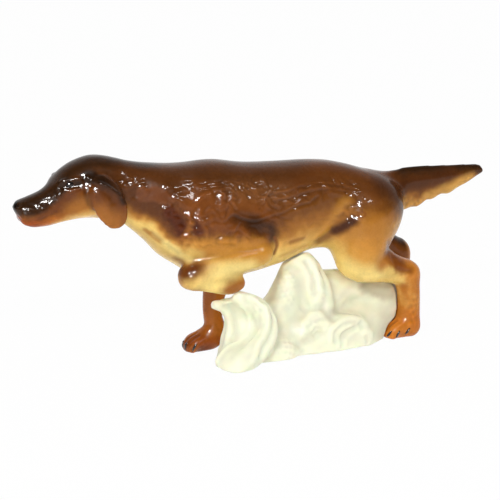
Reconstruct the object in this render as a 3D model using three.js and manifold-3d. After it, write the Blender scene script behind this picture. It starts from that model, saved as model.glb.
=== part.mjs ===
// A porcelain setter on point, standing over a white scrolled rock: slip-cast in sections,
// stuck together with slip and fired as one. Millimetres, +Z up, the shelf at z = 0.
// The dog faces -X and its left side faces -Y. The origin is under the middle of the figurine.
//
// The modeller's master is one smooth form, cut along straight luting seams into the sections that
// are cast in moulds of their own. This file does the same: fields describe the dog and the rock,
// skins are drawn over them, and seam boxes cut the skins into casts.
import * as THREE from 'three';
import { mergeVertices } from 'three/addons/utils/BufferGeometryUtils.js';
import Module from 'manifold-3d';

const wasm = await Module();
wasm.setup();

// Driving dimensions of the dog. STANCE lifts the whole body, and the legs reach down from it.
const STANCE = 47; // brisket above the shelf
const FORE_SPREAD = 9; // standing foreleg from the middle plane
const HIND_SPREAD = 10.5; // hind feet from the middle plane
const PAW_LENGTH = 25;
const PAW_WIDTH = 16;
const HOCK_HEIGHT = 40;
const FORELEG_RADIUS = 5.6; // at the thinnest place
const HIND_RADIUS = 7; // of the upright shank
const EAR_LENGTH = 31;
const EAR_WIDTH = 19;
const EAR_THICKNESS = 6;

// Driving dimensions of the rock
const ROCK_HEIGHT = 24; // of its main mass
const FOLD = 7; // radius of its rolled folds

// Casting
const SEAM_GAP = 0.35; // slip-filled gap between two casts
const ROCK_GAP = 0.6; // the same between the dog and the rock
const WALL = 4; // thickness that the slip leaves in the mould
const VENT = 4; // diameter of the firing vent under the chest

// Fineness of each skin: the side of its grid's cells
const CELL = { torso: 5.4, head: 3.3, ear: 2.3, tail: 3.4, leg: 3.4, rock: 4.2, hollow: 8 };

// Outline of the muzzle, head, neck and barrel. Each row is a slice across the dog at x: its top
// and underside, as heights above the brisket, and half its width.
const BODY = [
  { x: -134.5, top: 51, under: 46.5, half: 4 },
  { x: -132, top: 53.4, under: 42.4, half: 6.4 },
  { x: -128, top: 55, under: 39.5, half: 7.4 },
  { x: -122, top: 57, under: 38, half: 8 },
  { x: -117, top: 59.8, under: 37.8, half: 8.4 },
  { x: -112, top: 65.3, under: 38.6, half: 9.8 },
  { x: -107, top: 69.5, under: 39.6, half: 11.6 },
  { x: -100, top: 73, under: 40.4, half: 12.8 },
  { x: -92, top: 75, under: 40.2, half: 13.2 },
  { x: -84, top: 74.4, under: 38.6, half: 13 },
  { x: -76, top: 72.2, under: 36.5, half: 13 },
  { x: -69, top: 70.2, under: 31, half: 14.5 },
  { x: -61, top: 68.6, under: 23.6, half: 17 },
  { x: -54, top: 67.6, under: 15.6, half: 19.5 },
  { x: -46, top: 66.6, under: 10, half: 21 },
  { x: -36, top: 66.3, under: 3.5, half: 22 },
  { x: -20, top: 66.8, under: -0.5, half: 22.5 },
  { x: 0, top: 63.6, under: -0.5, half: 22.5 },
  { x: 20, top: 62.6, under: 3.4, half: 21.5 },
  { x: 36, top: 62.2, under: 9, half: 19.5 },
  { x: 50, top: 60.8, under: 10, half: 19 },
  { x: 64, top: 57.3, under: 12, half: 19 },
  { x: 75, top: 53, under: 18, half: 18 },
  { x: 84, top: 49, under: 21, half: 15.5 },
  { x: 93, top: 43, under: 26, half: 10 },
];

// Outline of the tail, carried level: the feathering hangs below the dock in uneven locks.
const TAIL = [
  { x: 72, top: 50, under: 37, half: 7 },
  { x: 84, top: 51.5, under: 31, half: 5.5 },
  { x: 96, top: 52.6, under: 27.5, half: 4.6 },
  { x: 106, top: 53, under: 27.5, half: 4.2 },
  { x: 114, top: 52.7, under: 29.6, half: 4 },
  { x: 122, top: 52.2, under: 32.6, half: 3.8 },
  { x: 134, top: 51.6, under: 35.6, half: 3.4 },
  { x: 142, top: 51.2, under: 39.6, half: 3 },
  { x: 148.5, top: 50.6, under: 43.2, half: 2.6 },
  { x: 154.5, top: 49.2, under: 46, half: 1.8 },
];

const LEFT = -1;
const RIGHT = 1;

// Fields. A field is below zero inside its form, and is about the distance to its surface.
const NEAR = 12; // farther off than this, a rough distance is enough
const blend = (a, b, width) => Math.max(width - Math.abs(a - b), 0) ** 2 / (4 * width);
const join = (a, b, width) => Math.min(a, b) - blend(a, b, width);
const overlap = (a, b, width) => Math.max(a, b) + blend(a, b, width);
const joined = (fields, width) => (x, y, z) => {
  let sum = Infinity;
  for (const field of fields) {
    const value = field(x, y, z);
    sum = sum === Infinity ? value : join(sum, value, width);
  }
  return sum;
};

const ellipsoid = (at, radii) => (x, y, z) =>
  (Math.hypot((x - at[0]) / radii[0], (y - at[1]) / radii[1], (z - at[2]) / radii[2]) - 1) *
  Math.min(...radii);

// A tapering limb through points of [x, y, z, radius]. It is narrower across the dog by flat.
const limb = (points, flat = 1) => {
  const stepsPerSpan = 4;
  const spans = points.length - 1;
  const path = new THREE.CatmullRomCurve3(points.map(([x, y, z]) => new THREE.Vector3(x, y, z)));
  const radii = new THREE.SplineCurve(points.map((point, n) => new THREE.Vector2(n, point[3])));
  const balls = Array.from({ length: spans * stepsPerSpan + 1 }, (_, n) => {
    const share = n / (spans * stepsPerSpan);
    return { ...path.getPoint(share), r: radii.getPoint(share).y };
  });
  const cones = balls.slice(1).map((b, n) => {
    const a = balls[n];
    const [dx, dy, dz] = [b.x - a.x, b.y - a.y, b.z - a.z];
    return { x: a.x, y: a.y, z: a.z, r: a.r, dx, dy, dz, dr: b.r - a.r, square: dx * dx + dy * dy + dz * dz };
  });
  const room = new THREE.Box3().setFromPoints(balls.map((ball) => new THREE.Vector3(ball.x, ball.y, ball.z)));
  room.expandByScalar(Math.max(...balls.map((ball) => ball.r)));
  const { min, max } = room;
  return (x, y, z) => {
    const off = Math.max(min.x - x, x - max.x, min.y - y, y - max.y, min.z - z, z - max.z);
    if (off > NEAR) return off;
    let least = Infinity;
    for (const c of cones) {
      const px = x - c.x;
      const py = y - c.y;
      const pz = z - c.z;
      const share = Math.min(Math.max((px * c.dx + py * c.dy + pz * c.dz) / c.square, 0), 1);
      const qx = px - share * c.dx;
      const qy = (py - share * c.dy) / flat;
      const qz = pz - share * c.dz;
      least = Math.min(least, Math.sqrt(qx * qx + qy * qy + qz * qz) - c.r - share * c.dr);
    }
    return least * Math.min(flat, 1);
  };
};

// A form with the outline rows above: each slice is an egg-shaped ring, fuller in its upper half.
const sliced = (rows, lift, { upper, lower, endRound }) => {
  const steps = 200;
  const first = rows[0].x;
  const length = rows[rows.length - 1].x - first;
  const [top, under, half] = ['top', 'under', 'half'].map((key) => {
    const curve = new THREE.SplineCurve(rows.map((row) => new THREE.Vector2(row.x, row[key])));
    const points = curve.getPoints(steps * 4);
    return Array.from({ length: steps + 1 }, (_, n) => {
      const x = first + (length * n) / steps;
      const after = Math.max(1, points.findIndex((point) => point.x >= x - 1e-6));
      const [a, b] = [points[after - 1], points[after]];
      return a.y + ((b.y - a.y) * (x - a.x)) / (b.x - a.x);
    });
  });
  const at = (table, place) => {
    const n = Math.min(Math.floor(place), steps - 1);
    return table[n] + (table[n + 1] - table[n]) * (place - n);
  };
  return (x, y, z) => {
    const place = Math.min(Math.max((x - first) / length, 0), 1) * steps;
    const high = at(top, place);
    const low = at(under, place);
    const wide = at(half, place);
    const tall = (high - low) / 2;
    const rise = z - lift - (high + low) / 2;
    const power = rise > 0 ? upper : lower;
    const ring = ((Math.abs(y) / wide) ** power + (Math.abs(rise) / tall) ** power) ** (1 / power);
    const pastEnd = Math.max(first - x, x - first - length);
    return overlap((ring - 1) * Math.min(tall, wide), pastEnd, endRound);
  };
};

// The dog's paws, legs and ears. A paw stands with its heel at x and points along -X.
const paw = (heel, y) => {
  const toeRadius = PAW_WIDTH / 5.4;
  const toes = [-1.5, -0.5, 0.5, 1.5].map((n) => {
    const across = y + (n * PAW_WIDTH) / 5;
    const back = Math.abs(n) * 1.4;
    return limb([
      [heel - PAW_LENGTH * 0.5, y + n * 2, 7.5, toeRadius + 0.6],
      [heel - PAW_LENGTH * 0.78 + back, across, 5.6, toeRadius + 0.3],
      [heel - PAW_LENGTH + toeRadius + back, across, toeRadius - 0.4, toeRadius],
    ]);
  });
  const pad = limb([
    [heel - PAW_WIDTH * 0.42, y, 6, PAW_WIDTH * 0.4],
    [heel - PAW_LENGTH * 0.62, y, 3.6, PAW_WIDTH * 0.36],
  ]);
  return joined([pad, ...toes], 1.4);
};

const hindLeg = (side, knee, hock, heel) =>
  joined(
    [
      limb([
        [70, side * 8, STANCE + 28, 18],
        [(70 + knee) / 2 + 1, side * 11, STANCE + 18, 16],
        [knee, side * 12.5, STANCE + 5, 14],
        [(knee + hock.x) / 2, side * 12.5, hock.z + 6, 10],
        [hock.x, side * hock.y, hock.z, HIND_RADIUS + 0.6],
      ]),
      limb([
        [hock.x, side * hock.y, hock.z, HIND_RADIUS + 0.6],
        [hock.x + 1.5, side * hock.y, hock.z - 13, HIND_RADIUS],
        [heel - 7.5, side * HIND_SPREAD, 14, HIND_RADIUS],
        [heel - 8, side * HIND_SPREAD, 8, HIND_RADIUS + 0.4],
      ]),
      paw(heel, side * HIND_SPREAD),
    ],
    3,
  );

const standingForeleg = joined(
  [
    limb([
      [-8, FORE_SPREAD + 2, STANCE + 20, 14],
      [-10, FORE_SPREAD + 1.5, STANCE + 4, 10],
      [-16, FORE_SPREAD, STANCE - 13, 7],
      [-17.5, FORE_SPREAD, 22, FORELEG_RADIUS],
      [-16, FORE_SPREAD, 12, FORELEG_RADIUS + 0.6],
      [-19, FORE_SPREAD, 8, FORELEG_RADIUS + 1],
    ]),
    paw(-11.5, FORE_SPREAD),
  ],
  3,
);

// The raised foreleg: a level forearm from the elbow to the wrist, and the paw folded back below
const WRIST = [-39.5, -17.5, STANCE + 5.5];
const raisedForeleg = joined(
  [
    limb([
      [1, -17.5, STANCE + 15.5, 8],
      [-18, -18, STANCE + 11.5, 8],
      [...WRIST, 7.6],
    ]),
    limb([
      [...WRIST, 7],
      [-29, -18, STANCE + 1, 5.4],
      [-18, -19, STANCE - 1, 5.6],
      [-13.5, -19, STANCE - 0.5, 5],
    ]),
  ],
  2,
);

const muscles = joined(
  [LEFT, RIGHT].flatMap((side) => [
    ellipsoid([-26, side * 9.5, STANCE + 33], [21, 14.5, 22]), // shoulder
    ellipsoid([-6, side * 12, STANCE + 22], [14, 12, 12]), // upper arm
    ellipsoid([73, side * 8, STANCE + 29], [21.5, 13, 20]), // haunch
  ]),
  5,
);

const face = joined(
  [LEFT, RIGHT].flatMap((side) => [
    ellipsoid([-107.5, side * 7.6, STANCE + 61.4], [5.5, 3.4, 3.2]), // brow
    ellipsoid([-97, side * 8.5, STANCE + 53], [11, 5.5, 9]), // cheek
    ellipsoid([-126, side * 4.4, STANCE + 43.6], [7, 3.6, 4.6]), // lip
    ellipsoid([-132.5, side * 2, STANCE + 50], [3, 3.6, 3]), // nose
  ]),
  2,
);

const body = sliced(BODY, STANCE, { upper: 2.4, lower: 2, endRound: 4 });
const tail = sliced(TAIL, STANCE, { upper: 2, lower: 1.7, endRound: 2 });
const leftHind = hindLeg(LEFT, 65, { x: 96.5, y: 12, z: HOCK_HEIGHT - 1 }, 106.5);
const rightHind = hindLeg(RIGHT, 76, { x: 102, y: 12, z: HOCK_HEIGHT + 6 }, 112);
const dog = (x, y, z) => {
  let field = join(body(x, y, z), muscles(x, y, z), 6);
  field = join(field, face(x, y, z), 3);
  field = join(field, tail(x, y, z), 5);
  field = join(field, Math.min(leftHind(x, y, z), rightHind(x, y, z)), 7);
  return join(field, standingForeleg(x, y, z), 6);
};

// An ear leaf: set on at the back of the skull, it hangs down and a little back.
const ear = (side) =>
  limb(
    [
      [-90.2, side * 12.6, STANCE + 67 - EAR_LENGTH * 0.16, EAR_WIDTH * 0.3],
      [-87.7, side * 14.6, STANCE + 67 - EAR_LENGTH * 0.37, EAR_WIDTH * 0.45],
      [-85.2, side * 16, STANCE + 67 - EAR_LENGTH * 0.58, EAR_WIDTH * 0.48],
      [-83.2, side * 16.6, STANCE + 67 - EAR_LENGTH * 0.76, EAR_WIDTH * 0.38],
    ],
    EAR_THICKNESS / EAR_WIDTH,
  );

// The rock: rolled folds on a low mass
const mass = [
  limb([
    [-3, 3, 0, 12],
    [14, 0, 4, ROCK_HEIGHT - 6],
    [46, -1, 4, ROCK_HEIGHT - 4],
    [74, -1, 8, 16],
  ]),
  limb([
    [44, 1, ROCK_HEIGHT + 2, 16],
    [60, 0, ROCK_HEIGHT + 8, 10],
    [77, -1, ROCK_HEIGHT + 7, 10],
    [87, -3, ROCK_HEIGHT, 10],
    [86, -4, 11, 8],
  ]),
  limb([
    [-4, -12, 6, 15],
    [2, -13, ROCK_HEIGHT - 4, 10],
  ]),
  ellipsoid([9, -18, 2], [17, 12, 12]),
];
const crest = [
  limb([
    [18, -6, ROCK_HEIGHT - 6, 14],
    [20, -6, STANCE - 17, 9],
    [25, -5, STANCE - 5, 7.5],
    [29, -4, STANCE + 4, 7],
  ]),
  ellipsoid([31, -5, STANCE - 16], [14, 9, 18]),
  limb([
    [41, -14, ROCK_HEIGHT - 10, FOLD + 2],
    [41, -11, STANCE - 12, FOLD],
    [35, -7, STANCE + 1, FOLD],
    [30, -4, STANCE + 7, FOLD - 1],
  ]),
];
const scroll = [
  limb([
    [-12, -20, STANCE - 9, FOLD - 2.5],
    [0, -23, STANCE - 16, FOLD - 1.5],
    [3, -26, ROCK_HEIGHT - 3, FOLD - 1],
    [-3, -30, 11, FOLD],
    [-19, -33.5, 3, FOLD + 1],
  ]),
  limb([
    [-27.5, -18, STANCE - 12.5, 3],
    [-18, -15, STANCE - 15, 5],
    [-12, -13, ROCK_HEIGHT - 2, FOLD],
    [-14, -17, 9, FOLD + 2],
    [-21, -26, 2, FOLD + 1],
  ]),
];
const leaves = [
  limb([
    [41, -20, 6, FOLD - 2],
    [44, -21, ROCK_HEIGHT - 11, FOLD - 2],
    [53, -20, ROCK_HEIGHT - 7.5, FOLD - 2],
    [61, -18, ROCK_HEIGHT - 9, FOLD - 2],
    [67, -17, 8, FOLD - 2],
  ]),
  limb([
    [24, -19, ROCK_HEIGHT - 11, FOLD - 2],
    [32, -19, ROCK_HEIGHT - 6, FOLD - 2],
    [41, -16, ROCK_HEIGHT - 2, FOLD - 2],
  ]),
  limb([
    [30, -19, 2, FOLD],
    [50, -17, 2, FOLD + 1],
    [68, -14, 2, FOLD + 1],
    [76, -9, 4, FOLD],
  ]),
];
const rock = joined([...mass, ...crest, ...scroll, ...leaves], 3.5);

// Skins. A grid of samples is laid over the field. Every cell that the surface crosses gets one
// point for each sheet of surface in it, settled on the surface, and every grid edge that the
// surface crosses joins the points of the four cells round it.
const CORNERS = Array.from({ length: 8 }, (_, n) => [n & 1, (n >> 1) & 1, n >> 2]);
const SQUARE = [[0, 0], [1, 0], [1, 1], [0, 1]];
const CELL_FACES = [0, 1, 2].flatMap((axis) =>
  [0, 1].map((end) =>
    SQUARE.map(([a, b]) => (end << axis) + (a << (axis + 1) % 3) + (b << (axis + 2) % 3)),
  ),
);
const edgeName = (a, b) => Math.min(a, b) * 8 + Math.max(a, b);

// The loops of crossed edges round one cell, from the signs of its eight corners
const sheetsOf = (inside) => {
  const links = new Map();
  const link = (a, b) => {
    links.set(a, [...(links.get(a) ?? []), b]);
    links.set(b, [...(links.get(b) ?? []), a]);
  };
  for (const corners of CELL_FACES) {
    const crossed = corners
      .map((corner, n) => [corner, corners[(n + 1) % 4]])
      .filter(([a, b]) => inside[a] !== inside[b]);
    if (crossed.length) link(edgeName(...crossed[0]), edgeName(...crossed[1]));
  }
  const sheets = [];
  const left = new Set(links.keys());
  while (left.size) {
    const loop = [];
    let edge = left.values().next().value;
    while (edge !== undefined) {
      left.delete(edge);
      loop.push(edge);
      edge = links.get(edge).find((next) => left.has(next));
    }
    sheets.push(loop);
  }
  return sheets;
};

const settle = (field, point, reach) => {
  for (let round = 0; round < 3; round++) {
    const value = field(...point);
    const slope = point.map((_, n) => {
      const beside = [...point];
      beside[n] += reach / 20;
      return (field(...beside) - value) / (reach / 20);
    });
    const steep = Math.max(slope[0] ** 2 + slope[1] ** 2 + slope[2] ** 2, 0.1);
    const step = Math.min(Math.max(value / steep, -reach / 3), reach / 3);
    slope.forEach((s, n) => (point[n] -= step * s));
  }
  return point;
};

const skin = (form, [low, high], cell) => {
  const middle = low.map((l, n) => (l + high[n]) / 2);
  const reach = low.map((l, n) => (high[n] - l) / 2);
  const field = (x, y, z) =>
    Math.max(
      form(x, y, z),
      Math.abs(x - middle[0]) - reach[0],
      Math.abs(y - middle[1]) - reach[1],
      Math.abs(z - middle[2]) - reach[2],
    );
  const count = reach.map((r) => Math.ceil((2 * r) / cell) + 4);
  const place = (grid) => grid.map((g, n) => middle[n] + (g - (count[n] - 1) / 2) * cell);
  const index = (grid) => (grid[2] * count[1] + grid[1]) * count[0] + grid[0];
  const values = new Float64Array(count[0] * count[1] * count[2]);
  const cells = [];
  for (let k = 0; k < count[2]; k++)
    for (let j = 0; j < count[1]; j++)
      for (let i = 0; i < count[0]; i++) {
        values[index([i, j, k])] = field(...place([i, j, k])) || 1e-9;
        if (i && j && k) cells.push([i - 1, j - 1, k - 1]);
      }
  // Where the inside touches itself only across a square's diagonal, the square is filled in.
  for (let filled = true; filled; ) {
    filled = false;
    for (const grid of cells)
      for (const axis of [0, 1, 2]) {
        const square = SQUARE.map(([a, b]) => {
          const corner = [...grid];
          corner[(axis + 1) % 3] += a;
          corner[(axis + 2) % 3] += b;
          return index(corner);
        });
        const [p, q, r, s] = square.map((at) => values[at] < 0);
        if (p !== r || q !== s || p === q) continue;
        const [low, high] = p ? [square[1], square[3]] : [square[0], square[2]];
        values[values[low] < values[high] ? low : high] = -1e-3;
        filled = true;
      }
  }

  const points = [];
  const pointOf = new Map();
  for (const grid of cells) {
    const inside = CORNERS.map(([a, b, c]) => values[index([grid[0] + a, grid[1] + b, grid[2] + c])] < 0);
    if (inside.every((i) => i === inside[0])) continue;
    const at = CORNERS.map((corner) => corner.map((c, n) => c + grid[n]));
    for (const sheet of sheetsOf(inside)) {
      const mean = [0, 0, 0];
      for (const edge of sheet) {
        const [a, b] = [edge >> 3, edge & 7];
        const [from, to] = [values[index(at[a])], values[index(at[b])]];
        const share = from / (from - to);
        const [start, end] = [place(at[a]), place(at[b])];
        start.forEach((s, n) => (mean[n] += (s + share * (end[n] - s)) / sheet.length));
        pointOf.set(index(grid) * 64 + edge, points.length);
      }
      points.push(settle(field, mean, cell));
    }
  }

  const triangles = [];
  const apart = (a, b) => Math.hypot(...points[a].map((c, n) => c - points[b][n]));
  for (const grid of cells)
    for (const axis of [0, 1, 2]) {
      const next = grid.map((g, n) => g + (n === axis ? 1 : 0));
      const starts = values[index(grid)] < 0;
      if (starts === values[index(next)] < 0) continue;
      const ring = SQUARE.map(([a, b]) => {
        const [u, v] = [(axis + 1) % 3, (axis + 2) % 3];
        const cellOf = grid.map((g, n) => g - (n === u ? a : 0) - (n === v ? b : 0));
        const corner = (a << u) + (b << v);
        return pointOf.get(index(cellOf) * 64 + edgeName(corner, corner + (1 << axis)));
      });
      if (!starts) ring.reverse();
      if (apart(ring[0], ring[2]) > apart(ring[1], ring[3])) ring.push(ring.shift());
      const [p, q, r, s] = ring;
      triangles.push(p, q, r, p, r, s);
    }
  const geometry = new THREE.BufferGeometry();
  geometry.setAttribute('position', new THREE.Float32BufferAttribute(points.flat(), 3));
  geometry.setIndex(triangles);
  return solid(geometry);
};

// Solids
const solid = (geometry) => {
  geometry.deleteAttribute('normal');
  geometry.deleteAttribute('uv');
  const merged = mergeVertices(geometry, 1e-4);
  const vertProperties = new Float32Array(merged.attributes.position.array);
  const triVerts = new Uint32Array(merged.index.array);
  return new wasm.Manifold(new wasm.Mesh({ numProp: 3, vertProperties, triVerts }));
};
const box = ([low, high], grow = 0) => {
  const geometry = new THREE.BoxGeometry(...low.map((l, n) => high[n] - l + 2 * grow));
  geometry.translate(...low.map((l, n) => (l + high[n]) / 2));
  return solid(geometry);
};
const upright = ([x, y], radius, [low, high]) => {
  const geometry = new THREE.CylinderGeometry(radius, radius, high - low, 16);
  geometry.rotateX(Math.PI / 2);
  geometry.translate(x, y, (low + high) / 2);
  return solid(geometry);
};

// Luting seams: the box that cuts each cast off the dog's torso or off the rock's base
const FAR = 300;
const NECK_SEAM = -74;
const TAIL_SEAM = 97;
const HIND_SEAM = STANCE + 11;
const THIGH_SEAM = 47;
const SCROLL_SEAM = 9;
const dogSeams = {
  head: [[-FAR, -FAR, -FAR], [NECK_SEAM, FAR, FAR]],
  tail: [[TAIL_SEAM, -FAR, STANCE + 22], [FAR, FAR, FAR]],
  standing_right_foreleg: [[-50, -FAR, -FAR], [14, FAR, STANCE - 3]],
  left_hind_leg: [[THIGH_SEAM, -FAR, -FAR], [FAR, 0, HIND_SEAM]],
  right_hind_leg: [[THIGH_SEAM, 0, -FAR], [FAR, FAR, HIND_SEAM]],
};
const rockSeams = {
  paw_scroll: [[-FAR, -FAR, -FAR], [SCROLL_SEAM, -9, FAR]],
  shell_leaves: [[SCROLL_SEAM + 11, -FAR, -FAR], [FAR, -15.5, ROCK_HEIGHT + 2]],
  belly_crest: [[SCROLL_SEAM, -FAR, ROCK_HEIGHT + 4], [50, FAR, FAR]],
};
const aboveShelf = box([[-FAR, -FAR, 0], [FAR, FAR, FAR]]);
const dogRoom = [[-142, -40, -8], [162, 40, STANCE + 82]];
const rockRoom = [[-52, -54, -8], [108, 40, STANCE + 18]];

// The part of a room that a seam's box takes up, with a little to spare
const within = (room, seam) => [
  room[0].map((low, n) => Math.max(low, seam[0][n] - 8)),
  room[1].map((high, n) => Math.min(high, seam[1][n] + 8)),
];

// The dog's casts
const dogCasts = { torso: skin(dog, within(dogRoom, [[NECK_SEAM, -FAR, STANCE - 8], [TAIL_SEAM, FAR, FAR]]), CELL.torso) };
for (const [name, seam] of Object.entries(dogSeams)) {
  const cast = skin(dog, within(dogRoom, seam), CELL[name] ?? CELL.leg);
  dogCasts[name] = cast.intersect(box(seam, -SEAM_GAP / 2)).intersect(aboveShelf);
  dogCasts.torso = dogCasts.torso.subtract(box(seam, SEAM_GAP / 2));
}

// The hollow that the slip leaves in the trunk and the skull, open at the neck seam
const hollowRoom = [[-112, -30, STANCE + 4], [82, 30, STANCE + 74]];
let hollow = skin((x, y, z) => dog(x, y, z) + WALL, hollowRoom, CELL.hollow);
for (const name of ['left_hind_leg', 'right_hind_leg']) hollow = hollow.subtract(box(dogSeams[name], WALL));
const vent = upright([-2, 0], VENT / 2, [STANCE - 20, STANCE + 20]);
dogCasts.torso = dogCasts.torso.subtract(hollow).subtract(vent);
dogCasts.head = dogCasts.head.subtract(hollow);

// The pieces that are cast by themselves and stuck on: the raised foreleg and the ears
const clearOfDog = (x, y, z) => dog(x, y, z) - SEAM_GAP;
const raisedRoom = [[-60, -36, STANCE - 16], [18, -4, STANCE + 32]];
dogCasts.raised_left_foreleg = skin(raisedForeleg, raisedRoom, CELL.leg).subtract(
  skin(clearOfDog, raisedRoom, CELL.leg),
);
for (const [name, side] of [['left_ear', LEFT], ['right_ear', RIGHT]]) {
  const [near, far] = [side * 6, side * 28].sort((a, b) => a - b);
  const room = [[-112, near, STANCE + 24], [-64, far, STANCE + 80]];
  dogCasts[name] = skin(ear(side), room, CELL.ear).subtract(skin(clearOfDog, room, CELL.head));
}

// The rock's casts: cut clear of the dog, then along their own seams, and hollowed from below
const clearOfAll = (x, y, z) => Math.min(dog(x, y, z), raisedForeleg(x, y, z)) - ROCK_GAP;
const wholeRock = skin(rock, rockRoom, CELL.rock)
  .intersect(aboveShelf)
  .subtract(skin(clearOfAll, within(dogRoom, rockRoom), CELL.leg));
const rockCasts = { rock_base: wholeRock };
const hollowBelow = [rockRoom[0], [rockRoom[1][0], rockRoom[1][1], ROCK_HEIGHT + 6]];
const cutRock = (x, y, z) => Math.max(rock(x, y, z), -clearOfAll(x, y, z));
let rockHollow = skin((x, y, z) => cutRock(x, y, z) + WALL, hollowBelow, CELL.hollow);
for (const [name, seam] of Object.entries(rockSeams)) {
  rockCasts[name] = wholeRock.intersect(box(seam, -SEAM_GAP / 2));
  rockCasts.rock_base = rockCasts.rock_base.subtract(box(seam, SEAM_GAP / 2));
  rockHollow = rockHollow.subtract(box(seam, WALL));
}
rockCasts.rock_base = rockCasts.rock_base.subtract(rockHollow);

// Glaze colours of the casts
const GLAZE = {
  torso: 0x7a4a20,
  head: 0x54300f,
  left_ear: 0x8a5220,
  right_ear: 0x8a5220,
  tail: 0x6b4a26,
  raised_left_foreleg: 0xd9bb7e,
  standing_right_foreleg: 0x8f4a12,
  left_hind_leg: 0xc78432,
  right_hind_leg: 0xb06c28,
};
const ROCK_GLAZE = 0xf6f3df;

// The slivers that a cut leaves are closed up: corners nearer together than WELD become one.
const WELD = 0.02;
const meshOf = (name, form) => {
  const made = form.getMesh();
  const cut = new THREE.BufferGeometry();
  cut.setAttribute('position', new THREE.BufferAttribute(new Float32Array(made.vertProperties), 3));
  cut.setIndex(new THREE.BufferAttribute(new Uint32Array(made.triVerts), 1));
  const geometry = mergeVertices(cut, WELD);
  const corners = geometry.index.array;
  const faces = Array.from({ length: corners.length / 3 }, (_, n) => [...corners.slice(3 * n, 3 * n + 3)]);
  geometry.setIndex(faces.filter((face) => new Set(face).size === 3).flat());
  geometry.computeVertexNormals();
  const color = GLAZE[name] ?? ROCK_GLAZE;
  const mesh = new THREE.Mesh(geometry, new THREE.MeshStandardMaterial({ color, roughness: 0.14, metalness: 0 }));
  mesh.name = name;
  return mesh;
};

// The figurine stands with the middle of its box over the origin.
const figurine = new THREE.Group();
for (const [name, form] of Object.entries({ ...dogCasts, ...rockCasts })) figurine.add(meshOf(name, form));
const middle = new THREE.Box3().setFromObject(figurine).getCenter(new THREE.Vector3());
figurine.position.set(-middle.x, -middle.y, 0);

export default figurine;
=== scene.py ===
"""The looks of a porcelain setter on point over a white scrolled rock.

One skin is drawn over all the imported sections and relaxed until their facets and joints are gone,
as sponging does with damp clay. It is carved, airbrushed and parted again into one glazed piece for
each section. Lengths are millimetres in the dog's own frame: X runs from nose to tail, Y to the
dog's right and Z up from the shelf, and the middle plane is Y = 0.
"""
import math

import bmesh
import bpy
import numpy as np
from mathutils import Euler, Matrix, Vector
from mathutils.bvhtree import BVHTree


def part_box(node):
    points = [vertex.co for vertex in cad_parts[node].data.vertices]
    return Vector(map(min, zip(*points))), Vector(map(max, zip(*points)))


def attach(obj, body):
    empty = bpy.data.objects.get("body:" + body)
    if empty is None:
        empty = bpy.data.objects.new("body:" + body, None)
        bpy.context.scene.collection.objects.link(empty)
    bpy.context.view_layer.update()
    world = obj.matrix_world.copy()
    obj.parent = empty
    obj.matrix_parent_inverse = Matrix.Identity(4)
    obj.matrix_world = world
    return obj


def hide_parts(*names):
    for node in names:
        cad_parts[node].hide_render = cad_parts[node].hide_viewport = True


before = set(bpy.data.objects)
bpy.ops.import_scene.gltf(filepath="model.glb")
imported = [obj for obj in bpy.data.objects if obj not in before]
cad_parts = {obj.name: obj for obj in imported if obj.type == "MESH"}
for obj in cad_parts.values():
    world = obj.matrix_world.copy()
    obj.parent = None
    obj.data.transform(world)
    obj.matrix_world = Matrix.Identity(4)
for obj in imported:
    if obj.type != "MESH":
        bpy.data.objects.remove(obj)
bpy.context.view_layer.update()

MM = 0.001
HEAD_END = -74.175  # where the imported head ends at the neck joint
SHELF = 0.0

DOG = (
    "torso", "head", "left_ear", "right_ear", "tail", "raised_left_foreleg",
    "standing_right_foreleg", "left_hind_leg", "right_hind_leg",
)
ROCK = ("rock_base", "paw_scroll", "shell_leaves", "belly_crest")
STUCK_ON = ("left_ear", "right_ear", "raised_left_foreleg")

# How the skin is drawn
VOXEL = 0.62
SWELL = 0.35  # closes the joint between two cut sections
SWELL_STUCK_ON = 0.75  # closes the wider joint under a piece that was stuck on
ROCK_VOXEL = 0.8
VENT = ((-2.0, 0.0, 49.0), 4.5)  # the firing vent under the chest, closed while the skin is drawn
SLAB = 1.2  # thickness of the scroll, leaves and crest as pieces of their own
BALL_RINGS = 24

# Rounds of relaxing: for the whole dog, then for the torso, and for the rock
DOG_ROUNDS, TORSO_ROUNDS, ROCK_ROUNDS = 14, 26, 18
TAIL_SHARE = 0.35  # of the torso's relaxing
TORSO_FADE = 20  # rounds that soften where the torso's own begin


def own_origin():
    """The zero point of the dog's own frame, in millimetres of the row frame."""
    low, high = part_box("torso")
    return np.array([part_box("head")[1].x / MM - HEAD_END, (low.y + high.y) / 2 / MM, SHELF])


ORIGIN = own_origin()


def to_row(points):
    return (np.asarray(points, float) + ORIGIN) * MM


# Meshes as arrays


def section(node, swell=0.0):
    """Corners and triangles of one packed section, with every corner moved out by swell."""
    welded = bmesh.new()
    welded.from_mesh(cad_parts[node].data)
    bmesh.ops.remove_doubles(welded, verts=welded.verts, dist=1e-6)
    welded.normal_update()
    welded.verts.index_update()
    corners = np.array([v.co + v.normal * (swell * MM) for v in welded.verts]) / MM - ORIGIN
    faces = [[v.index for v in face.verts] for face in welded.faces]
    welded.free()
    return corners, faces


def joined(meshes):
    corners, faces, start = [], [], 0
    for some_corners, some_faces in meshes:
        corners.append(some_corners)
        faces += [[start + n for n in face] for face in some_faces]
        start += len(some_corners)
    return np.concatenate(corners), faces


def ball(centre, radii):
    made = bmesh.new()
    bmesh.ops.create_uvsphere(made, u_segments=2 * BALL_RINGS, v_segments=BALL_RINGS, radius=1.0)
    made.verts.index_update()
    corners = np.array([v.co for v in made.verts]) * radii + centre
    faces = [[v.index for v in face.verts] for face in made.faces]
    made.free()
    return corners, faces


def linked(name, data):
    obj = bpy.data.objects.new(name, data)
    bpy.context.scene.collection.objects.link(obj)
    return obj


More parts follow.
